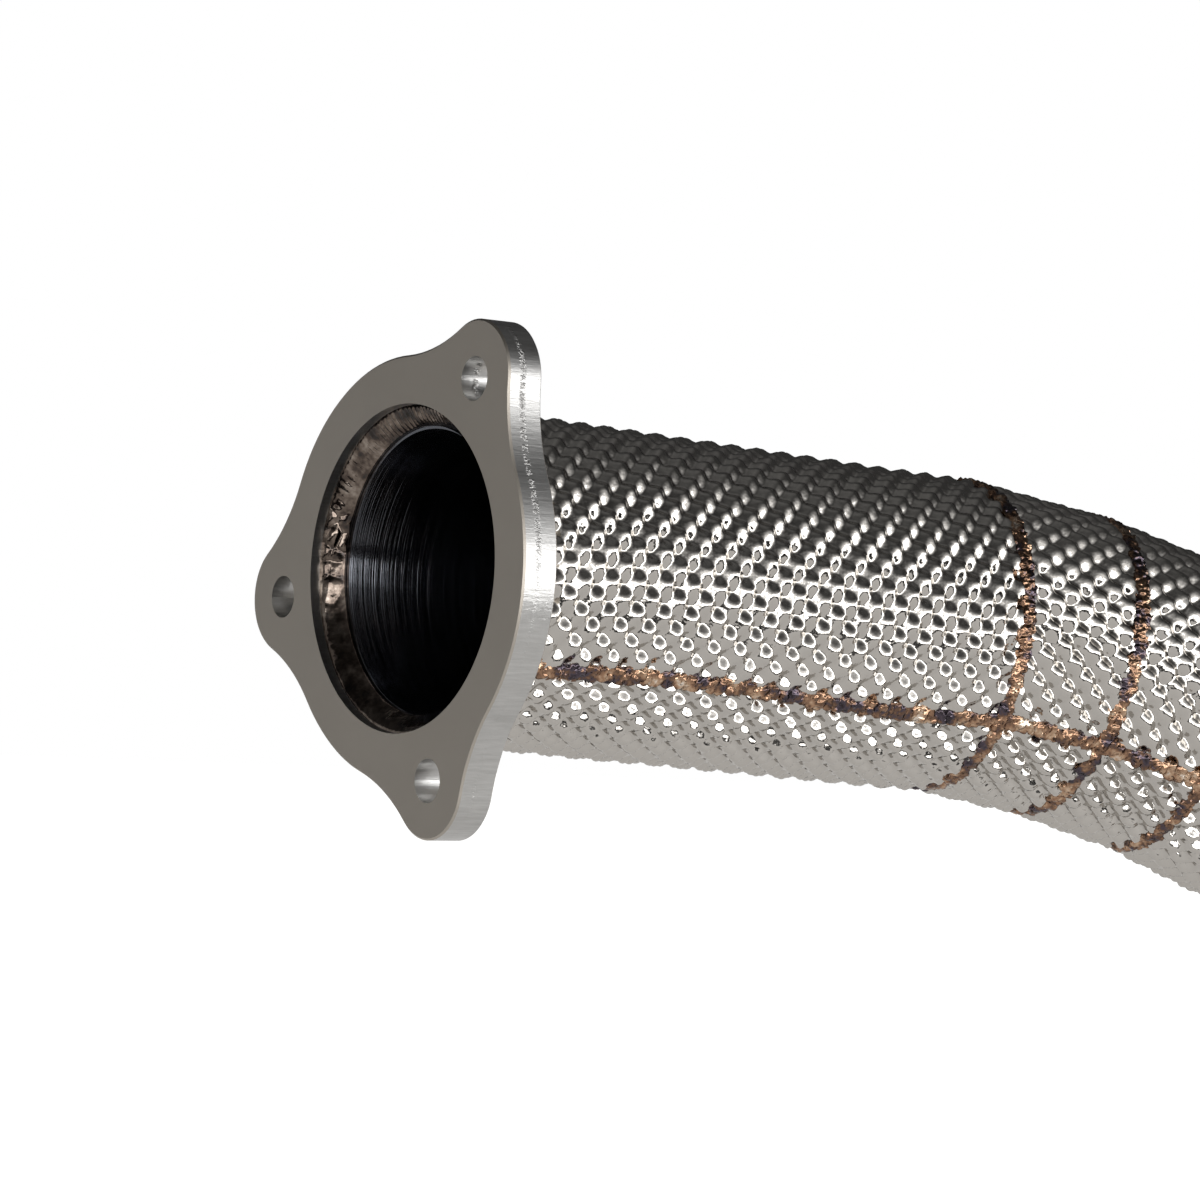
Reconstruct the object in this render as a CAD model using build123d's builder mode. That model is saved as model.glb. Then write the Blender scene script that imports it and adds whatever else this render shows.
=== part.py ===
from build123d import *
from math import acos, cos, degrees, radians, sin, tan
import os

# Heat-shielded exhaust downpipe. Origin: centre of the outlet bore on the gasket face.
# +X runs into the flange along its bore, +Z is up, and the pipe leans and bends towards -Y.

# Outlet flange, a thick plate with one top lobe and two lower ones
plate_t = 10.0
bore_d = 84.0
bolt_r = 55.75
hole_d = 11.2
body_r = 54.4
lobe_r = 14.9
waist_r = 50.0
top_angle = 122.8
low_spread = 49.8
edge_chamfer = 0.5

# Step in the bore that the tube is seated and welded in
lip_t = 2.0
weld_throat = 5.2
weld_land = 0.6
weld_overlap = 2.0

# Exhaust tube: a straight, a wide bend and a straight, butted together under the shield
tube_od = 76.2
tube_wall = 1.5
lean_side = 9.0
lean_down = 3.4
bend_roll = 58.6

# Heat shield of thin embossed sheet, wrapped over a fibre blanket
blanket_t = 3.0
blanket_gap = 0.15
foil_t = 0.4
emboss_h = 2.2
emboss_pitch = 7.6
straight_len = 166.0
gore_count = 6
gore_len = 38.0
gore_turn = 8.0
inlet_len = 44.0
crimp_len = 9.0
crimp_land = 6.0
seam_angle = -25.4
bead_w = 4.4
bead_h = 0.4

# Bare end of the tube and its clamp ring
bare_len = 24.0
ring_hub_t = 1.6
ring_hub_len = 6.0
ring_rim_r = 45.5
ring_rim_t = 3.2
ring_flank = 20.0
pilot_t = 2.4
pilot_h = 1.6
ring_weld_len = 2.6

tube_r = tube_od / 2
duct_r = tube_r - tube_wall
bore_r = bore_d / 2
lip_x = plate_t - lip_t
sheet_r = tube_r + blanket_t
blanket_r = sheet_r - blanket_gap
valley_r = sheet_r + foil_t
crest_r = valley_r + emboss_h
bead_r = crest_r + bead_h
half_turn = gore_turn / 2
bend_r = gore_len / 2 / tan(radians(half_turn))
tangent_s = straight_len - gore_len / 2
bend_total = (gore_count + 1) * gore_turn
hole_angles = [top_angle, top_angle + 180 - low_spread, top_angle + 180 + low_spread]


# Directions of the pipe: along its first stretch, and towards the inside of its bend
axial = Vector(cos(radians(lean_side)), -sin(radians(lean_side)), -tan(radians(lean_down))).normalized()
sideways = Vector(0, 0, 1).cross(axial).normalized() * -1
downwards = axial.cross(sideways).normalized()
if downwards.Z > 0:
    downwards = downwards * -1
inward = sideways * cos(radians(bend_roll)) + downwards * sin(radians(bend_roll))


def heading(turn):
    # Direction of the pipe after it has turned by this many degrees
    return axial * cos(radians(turn)) + inward * sin(radians(turn))


def inside(turn):
    # Direction to the inside of the bend after the same turn
    return inward * cos(radians(turn)) - axial * sin(radians(turn))


def polar(radius, angle):
    # Point in the plate's plane
    return Vector(radius * cos(radians(angle)), radius * sin(radians(angle)))


# Corners of the mitred shield, and the plane of each joint between two sections
corners = [axial * straight_len]
for gore in range(gore_count):
    corners.append(corners[-1] + heading((gore + 1) * gore_turn) * gore_len)
joints = [
    Plane(origin=corner, x_dir=inside((k + 0.5) * gore_turn), z_dir=heading((k + 0.5) * gore_turn))
    for k, corner in enumerate(corners)
]
section_len = [straight_len] + [gore_len] * gore_count + [inlet_len]
section_start = [Vector(0, 0, 0)] + corners
sections = [
    Plane(origin=start, x_dir=inside(k * gore_turn), z_dir=heading(k * gore_turn))
    for k, start in enumerate(section_start)
]
shield_end = sections[-1].offset(inlet_len)
tube_end = shield_end.offset(crimp_len + crimp_land + bare_len)

# Centre line of the tube, and the planes at both ends of its bend
bend_start = axial * tangent_s
bend_centre = bend_start + inward * bend_r
bend_middle = bend_centre - inside(bend_total / 2) * bend_r
bend_stop = bend_centre - inside(bend_total) * bend_r
bend_entry = Plane(origin=bend_start, x_dir=inward, z_dir=axial)
bend_exit = Plane(origin=bend_stop, x_dir=inside(bend_total), z_dir=heading(bend_total))
with BuildLine() as centre_line:
    Line(Vector(0, 0, 0), bend_start)
    ThreePointArc(bend_start, bend_middle, bend_stop)
    Line(bend_stop, tube_end.origin)


def pipe_bar(radius):
    # Solid bar along the whole centre line, cut parallel to the plate at the step in its bore
    with BuildPart() as bar:
        with BuildSketch(Plane(origin=(0, 0, 0), x_dir=inward, z_dir=axial)):
            Circle(radius)
        sweep(path=centre_line.line)
        split(bisect_by=Plane.YZ.offset(lip_x), keep=Keep.TOP)
    return bar.part


def plate_outline():
    # Body circle and three lobes, blended by hollow arcs
    reach = body_r + waist_r
    tip = lobe_r + waist_r
    swing = degrees(acos((reach**2 + bolt_r**2 - tip**2) / (2 * reach * bolt_r)))
    with BuildLine() as outline:
        for k, angle in enumerate(hole_angles):
            hole = polar(bolt_r, angle)
            ends = []
            for side in (-1, 1):
                centre = polar(reach, angle + side * swing)
                on_body = polar(body_r, angle + side * swing)
                on_lobe = hole + (centre - hole).normalized() * lobe_r
                middle = centre + ((on_body + on_lobe) / 2 - centre).normalized() * waist_r
                ThreePointArc(on_body, middle, on_lobe)
                ends.append(on_lobe)
            ThreePointArc(ends[0], hole + polar(lobe_r, angle), ends[1])
            following = hole_angles[(k + 1) % 3] + (360 if k == 2 else 0)
            ThreePointArc(
                polar(body_r, angle + swing),
                polar(body_r, (angle + following) / 2),
                polar(body_r, following - swing),
            )
    return outline.line


tube_bar = pipe_bar(tube_r)
duct_bar = pipe_bar(duct_r)

with BuildPart() as outlet_flange:
    with BuildSketch(Plane.YZ):
        make_face(plate_outline())
        with Locations(*[polar(bolt_r, angle) for angle in hole_angles]):
            Circle(hole_d / 2, mode=Mode.SUBTRACT)
    extrude(amount=plate_t)
    rims = outlet_flange.faces().filter_by(GeomType.PLANE).sort_by(Axis.X)
    chamfer(rims[0].outer_wire().edges() + rims[-1].outer_wire().edges(), edge_chamfer)
    with BuildSketch(Plane.YZ):
        Circle(bore_r)
    extrude(amount=lip_x, mode=Mode.SUBTRACT)
    add(tube_bar, mode=Mode.SUBTRACT)
    with BuildSketch(Plane.YZ.offset(lip_x)):
        Circle(duct_r)
    extrude(amount=lip_t, mode=Mode.SUBTRACT)
outlet_flange.part.label = "outlet_flange"

with BuildPart() as flange_weld:
    with BuildSketch(Plane.XY):
        with BuildLine():
            toe = (lip_x - weld_throat, bore_r)
            root = (lip_x - weld_land, duct_r - weld_overlap)
            Line((lip_x, bore_r), toe)
            SagittaArc(toe, root, weld_land)
            Polyline(root, (lip_x, duct_r - weld_overlap), (lip_x, bore_r))
        make_face()
    revolve(axis=Axis.X)
    with BuildSketch(Plane(origin=(0, 0, 0), x_dir=inward, z_dir=axial)):
        Circle(duct_r + weld_land)
    extrude(amount=2 * plate_t, mode=Mode.SUBTRACT)
flange_weld.part.label = "flange_weld"

with BuildPart() as tube_straight:
    add(tube_bar)
    add(duct_bar, mode=Mode.SUBTRACT)
    split(bisect_by=bend_entry, keep=Keep.BOTTOM)
tube_straight.part.label = "tube_straight"

with BuildPart() as tube_bend:
    add(tube_bar)
    add(duct_bar, mode=Mode.SUBTRACT)
    split(bisect_by=bend_entry, keep=Keep.TOP)
    split(bisect_by=bend_exit, keep=Keep.BOTTOM)
tube_bend.part.label = "tube_bend"

with BuildPart() as tube_inlet:
    add(tube_bar)
    add(duct_bar, mode=Mode.SUBTRACT)
    split(bisect_by=bend_exit, keep=Keep.TOP)
tube_inlet.part.label = "tube_inlet"


def radial_plane(section, angle):
    # Plane through a section's axis: local x points outwards at this angle, local y along the axis
    outwards = section.x_dir.rotate(Axis((0, 0, 0), section.z_dir), angle)
    return Plane(origin=section.origin, x_dir=outwards, z_dir=outwards.cross(section.z_dir))


def trim_section(k, gap):
    # Cut a section square to its neighbours, half a gap short of each joint
    if k == 0:
        split(bisect_by=Plane.YZ.offset(plate_t), keep=Keep.TOP)
    else:
        split(bisect_by=joints[k - 1].offset(gap / 2), keep=Keep.TOP)
    if k < len(joints):
        split(bisect_by=joints[k].offset(-gap / 2), keep=Keep.BOTTOM)


def section_span(k):
    # Stretch of a section's axis that reaches past both of its cut ends
    spare = crest_r * tan(radians(half_turn)) + 1
    low = 0 if k == 0 else -spare
    high = section_len[k] + spare if k < len(joints) else inlet_len
    return low, high


def crimp_line(radius):
    # Sheet line that tapers onto the tube at the inlet end of the shield
    land_r = tube_r + radius - sheet_r
    return [(radius, inlet_len), (land_r, inlet_len + crimp_len), (land_r, inlet_len + crimp_len + crimp_land)]


def ridged_line(k, inset):
    # Line of the embossed sheet at this depth in it: crests and valleys half a pitch apart
    low, high = section_span(k)
    steps = int((high - low) / (emboss_pitch / 2))
    points = [(valley_r - inset, low)]
    for step in range(1, steps):
        radius = crest_r if step % 2 else valley_r
        points.append((radius - inset, low + step * emboss_pitch / 2))
    if k == len(joints):
        return points + crimp_line(valley_r - inset)
    return points + [(valley_r - inset, high)]


def shield_section(k):
    seam_half = degrees(bead_w / 2 / sheet_r)
    with BuildPart() as sheet:
        with BuildSketch(radial_plane(sections[k], seam_angle + seam_half)):
            with BuildLine():
                Polyline(*ridged_line(k, 0), *reversed(ridged_line(k, foil_t)), close=True)
            make_face()
        revolve(axis=Axis(sections[k].origin, sections[k].z_dir), revolution_arc=360 - 2 * seam_half)
        trim_section(k, bead_w)
    return sheet.part


def seam_bead(k):
    # Bead that closes the lengthwise joint of one wrapped sheet
    seam_half = degrees(bead_w / 2 / sheet_r)
    low, high = section_span(k)
    line = [(sheet_r, low), (bead_r, low), (bead_r, high), (sheet_r, high)]
    if k == len(joints):
        top = crimp_line(bead_r)
        line = [(sheet_r, low), (bead_r, low)] + top + list(reversed(crimp_line(sheet_r)))
    with BuildPart() as bead:
        with BuildSketch(radial_plane(sections[k], seam_angle - seam_half)):
            with BuildLine():
                Polyline(*line, close=True)
            make_face()
        revolve(axis=Axis(sections[k].origin, sections[k].z_dir), revolution_arc=2 * seam_half)
        trim_section(k, bead_w)
    return bead.part


def joint_bead(k):
    # Bead round one mitred joint, crowned above the crests of the sheets
    joint = joints[k]
    face = radial_plane(joint, 0)
    side = bead_w / 2
    inner_r = (blanket_r + side * sin(radians(half_turn))) / cos(radians(half_turn)) + blanket_gap
    with BuildPart() as bead:
        with BuildSketch(face):
            with BuildLine():
                Polyline(
                    (crest_r, side),
                    (inner_r, side),
                    (inner_r, -side),
                    (crest_r, -side),
                    (bead_r, -side / 2),
                    (bead_r, side / 2),
                    close=True,
                )
            make_face()
        revolve(axis=Axis(joint.origin, joint.z_dir))
    return bead.part


def blanket_section(k):
    # Full round of one section between its joints, tapered where the sheet is crimped
    low, high = section_span(k)
    axis = Axis(sections[k].origin, sections[k].z_dir)
    line = [(0, low), (blanket_r, low), (blanket_r, high)]
    if k == len(joints):
        line.append((tube_r, inlet_len + crimp_len * (blanket_r - tube_r) / blanket_t))
    with BuildPart() as fibre:
        with BuildSketch(radial_plane(sections[k], 0)):
            with BuildLine():
                Polyline(*line, (0, line[-1][1]), close=True)
            make_face()
        revolve(axis=axis)
        trim_section(k, 0)
    return fibre.part


def blanket(first, last):
    # Fibre blanket of sections first to last, hollow where the tube runs
    with BuildPart() as fibre:
        for k in range(first, last + 1):
            add(blanket_section(k))
        add(pipe_bar(tube_r + blanket_gap), mode=Mode.SUBTRACT)
    return fibre.part


os.makedirs("parts", exist_ok=True)
export_step(outlet_flange.part, "parts/outlet_flange.step")
export_step(flange_weld.part, "parts/flange_weld.step")
export_step(tube_straight.part, "parts/tube_straight.step")
export_step(tube_bend.part, "parts/tube_bend.step")
export_step(tube_inlet.part, "parts/tube_inlet.step")

blanket_spans = {
    "blanket_straight": (0, 0),
    "blanket_bend": (1, gore_count),
    "blanket_inlet": (gore_count + 1, gore_count + 1),
}
for name, span in blanket_spans.items():
    with BuildPart() as fibre_blanket:
        add(blanket(*span))
    fibre_blanket.part.label = name
    export_step(fibre_blanket.part, f"parts/{name}.step")

section_names = ["straight"] + [f"gore_{k + 1}" for k in range(gore_count)] + ["inlet"]
for k, name in enumerate(section_names):
    with BuildPart() as shield:
        add(shield_section(k))
    shield.part.label = f"shield_{name}"
    export_step(shield.part, f"parts/shield_{name}.step")
    with BuildPart() as seam_weld:
        add(seam_bead(k))
    seam_weld.part.label = f"seam_weld_{name}"
    export_step(seam_weld.part, f"parts/seam_weld_{name}.step")

for k in range(len(joints)):
    with BuildPart() as joint_weld:
        add(joint_bead(k))
    joint_weld.part.label = f"joint_weld_{k + 1}"
    export_step(joint_weld.part, f"parts/joint_weld_{k + 1}.step")

end_section = radial_plane(tube_end, 0)
end_axis = Axis(tube_end.origin, tube_end.z_dir)
hub_r = tube_r + ring_hub_t
rim_back = (ring_rim_r - hub_r) * tan(radians(ring_flank))
rim_face = rim_back + ring_rim_t

with BuildPart() as clamp_ring:
    with BuildSketch(end_section):
        with BuildLine():
            Polyline(
                (tube_r, -ring_hub_len),
                (hub_r, -ring_hub_len),
                (hub_r, 0),
                (ring_rim_r, rim_back),
                (ring_rim_r, rim_face),
                (duct_r + pilot_t, rim_face),
                (duct_r + pilot_t, rim_face + pilot_h),
                (duct_r, rim_face + pilot_h),
                (duct_r, 0),
                (tube_r, 0),
                close=True,
            )
        make_face()
    revolve(axis=end_axis)
clamp_ring.part.label = "clamp_ring"
export_step(clamp_ring.part, "parts/clamp_ring.step")

with BuildPart() as ring_weld:
    with BuildSketch(end_section):
        with BuildLine():
            Polyline(
                (tube_r, -ring_hub_len),
                (hub_r, -ring_hub_len),
                (tube_r, -ring_hub_len - ring_weld_len),
                close=True,
            )
        make_face()
    revolve(axis=end_axis)
ring_weld.part.label = "ring_weld"
export_step(ring_weld.part, "parts/ring_weld.step")

print("outlet axis", axial, "inward", inward)
print("inlet face", tube_end.offset(rim_face + pilot_h).origin, "heading", tube_end.z_dir)
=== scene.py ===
import bpy
import bmesh
import math
import numpy as np
from mathutils import Matrix, Vector, noise


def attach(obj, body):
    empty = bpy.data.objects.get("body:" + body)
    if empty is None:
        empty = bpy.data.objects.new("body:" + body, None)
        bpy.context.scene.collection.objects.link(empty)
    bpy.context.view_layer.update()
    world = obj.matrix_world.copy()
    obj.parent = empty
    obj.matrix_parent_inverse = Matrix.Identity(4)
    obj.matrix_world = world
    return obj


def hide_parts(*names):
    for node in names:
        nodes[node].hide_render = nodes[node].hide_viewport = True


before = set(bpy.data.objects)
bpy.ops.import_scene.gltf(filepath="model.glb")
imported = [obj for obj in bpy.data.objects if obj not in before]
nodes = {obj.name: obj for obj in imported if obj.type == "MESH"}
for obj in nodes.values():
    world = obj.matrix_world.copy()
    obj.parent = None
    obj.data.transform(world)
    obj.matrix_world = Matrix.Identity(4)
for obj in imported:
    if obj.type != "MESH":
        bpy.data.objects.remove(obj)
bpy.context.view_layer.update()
mm = 0.001
print("frame loaded:", len(nodes), "nodes")


# route of the pipe, the same as in the CAD, in millimetres and degrees
pipe = {
    "leanSide": 9.0,
    "leanDown": 3.4,
    "bendRoll": 58.6,
    "plateThickness": 10.0,
    "straightLength": 166.0,
    "goreCount": 6,
    "goreLength": 38.0,
    "goreTurn": 8.0,
    "inletLength": 44.0,
    "crimpLength": 9.0,
    "crimpLand": 6.0,
    "tubeRadius": 38.1,
    "seamAngle": -25.4,
}


def unit(vector):
    return vector / np.linalg.norm(vector)


leanSide = math.radians(pipe["leanSide"])
leanDown = math.radians(pipe["leanDown"])
axial = unit(np.array([math.cos(leanSide), -math.sin(leanSide), -math.tan(leanDown)]))
sideways = -unit(np.cross([0, 0, 1], axial))
downwards = unit(np.cross(axial, sideways))
downwards = downwards if downwards[2] < 0 else -downwards
bendRoll = math.radians(pipe["bendRoll"])
inward = sideways * math.cos(bendRoll) + downwards * math.sin(bendRoll)


def heading(turn):  # direction of the pipe after this many degrees of bend
    return axial * math.cos(math.radians(turn)) + inward * math.sin(math.radians(turn))


def inside(turn):  # direction to the inside of the bend
    return inward * math.cos(math.radians(turn)) - axial * math.sin(math.radians(turn))


sectionNames = ["straight"] + ["gore_%d" % (k + 1) for k in range(pipe["goreCount"])] + ["inlet"]
sections = []  # one entry per sheet: where it starts, its own axes and its two cut planes
corner = np.zeros(3)
for k, name in enumerate(sectionNames):
    turn = k * pipe["goreTurn"]
    along = heading(turn)
    length = pipe["goreLength"]
    if name == "straight":
        length = pipe["straightLength"]
    if name == "inlet":
        length = pipe["inletLength"] + pipe["crimpLength"] + pipe["crimpLand"]
    nextCorner = corner + along * length
    first = [corner, heading(turn - pipe["goreTurn"] / 2)]
    last = [nextCorner, heading(turn + pipe["goreTurn"] / 2)]
    if name == "straight":
        first = [np.array([pipe["plateThickness"], 0, 0]), np.array([1.0, 0, 0])]
    if name == "inlet":
        last = [nextCorner, along]
    sections.append({
        "name": name,
        "start": corner,
        "along": along,
        "inside": inside(turn),
        "across": np.cross(along, inside(turn)),
        "first": first,
        "last": last,
    })
    corner = nextCorner


def radial(section, angle):  # outward direction at this angle in radians, for arrays too
    angle = np.asarray(angle)[..., None]
    return section["inside"] * np.cos(angle) + section["across"] * np.sin(angle)


def reach(section, cut, angle, radius):  # distance along the section's axis to a cut plane
    point, normal = cut
    out = radial(section, angle) * radius
    return ((point - section["start"] - out) @ normal) / (section["along"] @ normal)


def ease(low, high, value):  # smooth step from 0 to 1
    x = np.clip((value - low) / (high - low), 0, 1)
    return x * x * (3 - 2 * x)


wobbleShift = (7.31, 3.17, 5.73)  # how far apart two seeds read the same noise
lumpShift = (4.7, 2.9, 6.1)
lumpSpread = 1.6
lumpRounding = 0.6


def wobble(points, scale, seed, octaves=2):  # smooth noise at each point, about -1 to 1
    shift = Vector([seed * step for step in wobbleShift])
    return np.array([noise.fractal(Vector(p) * scale + shift, 1.0, 2.0, octaves) for p in points])


def lumps(points, size, seed):  # rounded bumps of about this size, 0 in the creases and 1 on the crowns
    shift = Vector([seed * step for step in lumpShift])
    near = np.array([noise.voronoi(Vector(p) / size + shift)[0][:2] for p in points])
    return np.clip((near[:, 1] - near[:, 0]) * lumpSpread, 0, 1) ** lumpRounding


# small mesh helpers
def grid(columns, rows):  # a flat grid and where each of its corners lies, from 0 to 1 both ways
    bm = bmesh.new()
    bmesh.ops.create_grid(bm, x_segments=columns, y_segments=rows, size=0.5)
    flat = np.array([v.co[:2] for v in bm.verts]) + 0.5
    return bm, flat


def place(bm, points):  # moves the corners to these points, given in millimetres
    for v, p in zip(bm.verts, points * mm):
        v.co = p


def finished(bm, name, node, material, creaseAngle):  # the bmesh as a piece of the visual model
    bmesh.ops.recalc_face_normals(bm, faces=bm.faces)
    mesh = bpy.data.meshes.new(name)
    bm.to_mesh(mesh)
    bm.free()
    mesh.polygons.foreach_set("use_smooth", [True] * len(mesh.polygons))
    mesh.set_sharp_from_angle(angle=math.radians(creaseAngle))
    mesh.materials.append(material)
    obj = bpy.data.objects.new(name, mesh)
    bpy.context.scene.collection.objects.link(obj)
    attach(obj, "root")
    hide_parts(node)
    print("piece", name, len(mesh.polygons), "faces")


# shader helper: a socket that does maths
class Value:
    def __init__(self, tree, socket):
        self.tree = tree
        self.socket = socket

    def math(self, operation, other, swapped=False):
        node = self.tree.nodes.new("ShaderNodeMath")
        node.operation = operation
        pair = [other, self] if swapped else [self, other]
        for slotIndex, item in enumerate(pair):
            if isinstance(item, Value):
                self.tree.links.new(item.socket, node.inputs[slotIndex])
            elif item is not None:
                node.inputs[slotIndex].default_value = item
        return Value(self.tree, node.outputs[0])

    def __add__(self, other):
        return self.math("ADD", other)

    def __radd__(self, other):
        return self.math("ADD", other, True)

    def __sub__(self, other):
        return self.math("SUBTRACT", other)

    def __rsub__(self, other):
        return self.math("SUBTRACT", other, True)

    def __mul__(self, other):
        return self.math("MULTIPLY", other)

    def __rmul__(self, other):
        return self.math("MULTIPLY", other, True)

    def __truediv__(self, other):
        return self.math("DIVIDE", other)

    def __rtruediv__(self, other):
        return self.math("DIVIDE", other, True)

    def __pow__(self, other):
        return self.math("POWER", other)

    def __rpow__(self, other):
        return self.math("POWER", other, True)

    def clamped(self):
        return self.math("MAXIMUM", 0.0).math("MINIMUM", 1.0)


class Finish:  # one material and the nodes that feed its main shader
    def __init__(self, name, **sockets):
        self.material = bpy.data.materials.new(name)
        self.material.use_nodes = True
        self.tree = self.material.node_tree
        self.shader = self.tree.nodes["Principled BSDF"]
        for socket, value in sockets.items():
            self.shader.inputs[socket.replace("_", " ")].default_value = value

    def node(self, kind, settings=None, inputs=None, output=0):
        made = self.tree.nodes.new("ShaderNode" + kind)
        for key, value in (settings or {}).items():
            if key == "stops":
                ramp = made.color_ramp
                while len(ramp.elements) < len(value):
                    ramp.elements.new(1.0)
                for element, (position, colour) in zip(ramp.elements, value):
                    element.position = position
                    element.color = (*colour, 1)
            else:
                setattr(made, key, value)
        for key, value in (inputs or {}).items():
            if isinstance(value, Value):
                self.tree.links.new(value.socket, made.inputs[key])
            else:
                made.inputs[key].default_value = value
        return Value(self.tree, made.outputs[output])

    def feed(self, socket, value):
        self.tree.links.new(value.socket, self.shader.inputs[socket])

    def place(self):
        return self.node("TexCoord", output="Object")

    def grain(self, scale, detail, rough, vector=None):
        vector = vector or self.place()
        inputs = {"Vector": vector, "Scale": scale, "Detail": detail, "Roughness": rough}
        return self.node("TexNoise", inputs=inputs, output="Fac")

    def streaks(self, scales, detail, rough):  # a grain with its own scale along each axis
        stretched = self.node("Mapping", inputs={"Vector": self.place(), "Scale": scales})
        return self.grain(1.0, detail, rough, stretched)

    def ramp(self, factor, stops):
        return self.node("ValToRGB", {"stops": stops}, {"Fac": factor}, "Color")

    def blend(self, factor, low, high):
        settings = {"data_type": "RGBA"}
        low = low if isinstance(low, Value) else (*low, 1)
        high = high if isinstance(high, Value) else (*high, 1)
        return self.node("Mix", settings, {0: factor, 6: low, 7: high}, 2)

    def bump(self, height, strength, distance, normal=None):
        inputs = {"Height": height, "Strength": strength, "Distance": distance}
        if normal is not None:
            inputs["Normal"] = normal
        return self.node("Bump", inputs=inputs, output="Normal")

    def axis(self, vector, name):
        return self.node("SeparateXYZ", inputs={0: vector}, output=name)


# embossed sheet, in millimetres and degrees
foil = {
    "thickness": 0.4,
    "meanRadius": 42.6,
    "wallRadius": 41.1,
    "spacing": 0.74,
    "merge": 0.02,
    "creaseAngle": 65,
    "patternRadius": 43.0,
    "patternStart": 68.73,
    "patternTurn": -43.43,
    "patternShift": (2.3, 1.7),  # along and around, from each sheet to the next
    "closingSlip": (0.34, 0.08),  # how far the pattern misses itself where the sheet closes, in repeats
    "goreDepth": 1.08,
    "ridge": -0.2,
    "deeperTurn": (1.3, 2.2),  # radians from the lengthwise weld over which knobBelow fades out
    "weldGap": 0.6,
    "weldFade": 2.4,
    "seamGap": 1.0,
    "seamFade": 1.6,
    "crimpFade": 6.0,
    "crumple": 0.55,
    "crumpleStart": 3.0,
    "crumpleReach": 20.0,
    "flattening": 0.5,
    "drift": 0.4,
    "uneven": 0.16,
    "wrinkle": 0.08,
    "wave": 0.12,
    "heatReach": 7.0,
    "heatFall": 2.2,
}
sheetNoise = {  # waves per millimetre, seed and octaves
    "driftAlong": (0.06, 60, 1),
    "driftAround": (0.06, 70, 1),
    "uneven": (0.13, 80, 2),
    "wrinkle": (0.5, 90, 1),
    "flattening": (0.09, 3, 2),
    "crumple": (0.16, 5, 2),
    "wave": (0.05, 9, 1),  # with a seed of its own for each sheet
}
lattices = {  # repeat vectors of the emboss on each kind of sheet, (along, around) in millimetres
    "straight": [(7.79, -0.34), (4.15, 4.06)],
    "gore": [(9.1, -0.2), (4.35, 3.85)],
}
knob = [  # waves along, waves around, quarter turns of phase of each, height in millimetres
    (1, 1, 0, 0, 1.04),
    (1, 1, 1, 1, -0.13),
    (2, 0, 0, 0, -0.05),
    (0, 2, 0, 0, -0.03),
    (2, 0, 1, 0, 0.06),
    (0, 2, 0, 1, -0.07),
    (3, 1, 1, 0, -0.05),
    (2, 2, 1, 0, 0.06),
]
knobBelow = [  # what is added under the lengthwise weld, where the sheet is stamped deeper
    (1, 1, 0, 0, 0.3),
    (0, 2, 0, 1, -0.36),
]
shears = {  # how much one diagonal of the pattern is stamped deeper, by sheet
    "gore_1": 0.5,
    "gore_2": 0.5,
    "gore_3": -0.4,
    "gore_4": 0.5,
    "gore_6": 0.4,
}
seamWander = {  # the lengthwise weld of the long sheet strays from a straight line, in millimetres
    "start": 2.0,
    "startWave": 26.0,
    "startFade": 60.0,
    "swing": 0.8,
    "swingWave": 30.0,
}
foilLook = {  # grains are scale, detail and roughness, here and below
    "bare": (0.505, 0.482, 0.452),
    "straw": (0.50, 0.44, 0.36),
    "bronze": (0.42, 0.27, 0.16),
    "brown": (0.24, 0.13, 0.09),
    "burnt": (0.17, 0.11, 0.12),
    "stain": 1.7,
    "smokeShare": 0.9,
    "smoke": (240.0, 4.0, 0.6),
    "smear": (55.0, 3.0, 0.6),
    "roughness": 0.07,
    "smearRoughness": 0.07,
    "heatRoughness": 0.08,
    "creaseSharpness": 16.0,
    "creaseStrength": 0.22,
    "creaseHeight": 0.0006,
    "creaseWarp": 1.4,
    "warp": (150.0, 2.0, 0.5),
    "dents": (380.0, 2.0, 0.5),
    "dentStrength": 0.5,
    "dentHeight": 0.0004,
}


def emboss(lattice, along, around, turn, shear):  # height of the stamped pattern in mm, and its phases
    (a1, b1), (a2, b2) = lattice
    det = a1 * b2 - a2 * b1
    lap = turn / (2 * math.pi)
    u = (along * b2 - around * a2) / det + foil["closingSlip"][0] * lap
    w = (around * a1 - along * b1) / det + foil["closingSlip"][1] * lap
    x = 2 * math.pi * (u + w / 2)
    y = math.pi * w
    height = shear * (np.sin(x) * np.sin(y) + foil["ridge"] * np.cos(2 * x - 2 * y))
    below = 1 - ease(*foil["deeperTurn"], turn)
    for share, waves in ((1, knob), (below, knobBelow)):
        for m, n, xPhase, yPhase, size in waves:
            wave = np.cos(m * x - xPhase * math.pi / 2) * np.cos(n * y - yPhase * math.pi / 2)
            height = height + share * size * wave
    return height, np.stack([x, y, 0 * x], -1)


def stampSheet(index, spots, along, turn):  # the pattern in its place on one sheet, before it fades
    name = sections[index]["name"]
    seam = math.radians(pipe["seamAngle"])
    shiftAlong, shiftAround = foil["patternShift"]
    around = foil["patternRadius"] * (turn + seam - math.radians(foil["patternTurn"]))
    along = along - foil["patternStart"] + shiftAlong * index
    along = along + foil["drift"] * wobble(spots, *sheetNoise["driftAlong"])
    around = around + shiftAround * index + foil["drift"] * wobble(spots, *sheetNoise["driftAround"])
    lattice = lattices["straight" if name == "straight" else "gore"]
    height, phases = emboss(lattice, along, around, turn, shears.get(name, 0))
    height = height * (1 + foil["uneven"] * wobble(spots, *sheetNoise["uneven"]))
    height = height * (1 if name == "straight" else foil["goreDepth"])
    return height + foil["wrinkle"] * wobble(spots, *sheetNoise["wrinkle"]), phases


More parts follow.
